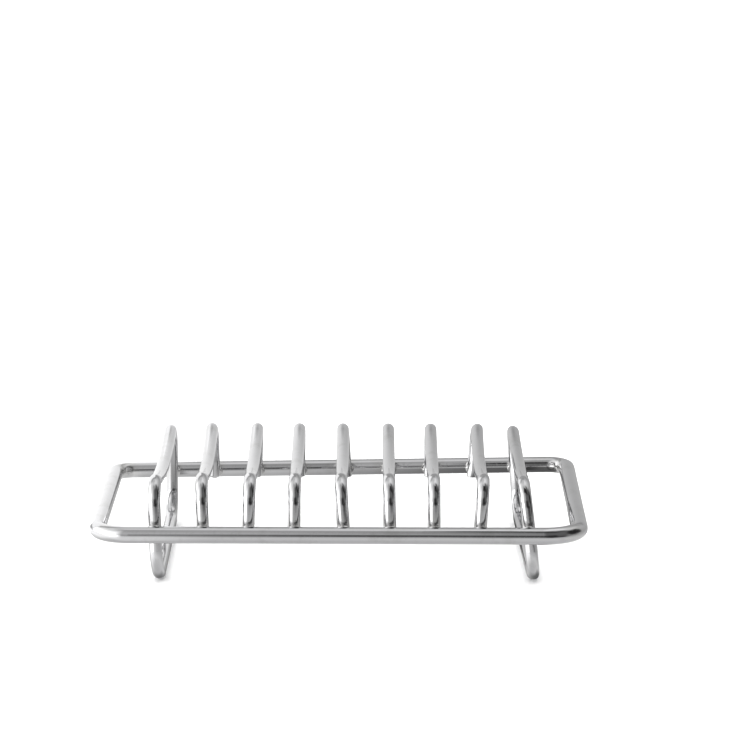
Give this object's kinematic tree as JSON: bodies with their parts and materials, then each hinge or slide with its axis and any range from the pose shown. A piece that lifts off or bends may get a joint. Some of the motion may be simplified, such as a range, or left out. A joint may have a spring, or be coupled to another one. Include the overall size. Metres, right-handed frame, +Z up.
{
  "type": "soap drying rack",
  "caption": "Welded wire soap rack: a rounded rectangular frame with a row of dipped cross bars and two end loops that stand as feet.",
  "frame": {"origin": "centre of the frame's outline, at the level of the surface the rack stands on", "axes": "+X along the long side, to the right seen from the front; +Y from the front rail to the rear rail; +Z up"},
  "size_m": [0.1172, 0.08, 0.0258],
  "materials": {
    "frame_steel": "polished stainless wire",
    "loop_steel": "polished stainless wire",
    "cross_steel": "polished stainless wire"
  },
  "bodies": {
    "root": {"frame_ring": "frame_steel", "end_loop_left": "loop_steel", "end_loop_right": "loop_steel", "cross_bar_1": "cross_steel", "cross_bar_2": "cross_steel", "cross_bar_3": "cross_steel", "cross_bar_4": "cross_steel", "cross_bar_5": "cross_steel", "cross_bar_6": "cross_steel", "cross_bar_7": "cross_steel"}
  },
  "joints": []
}
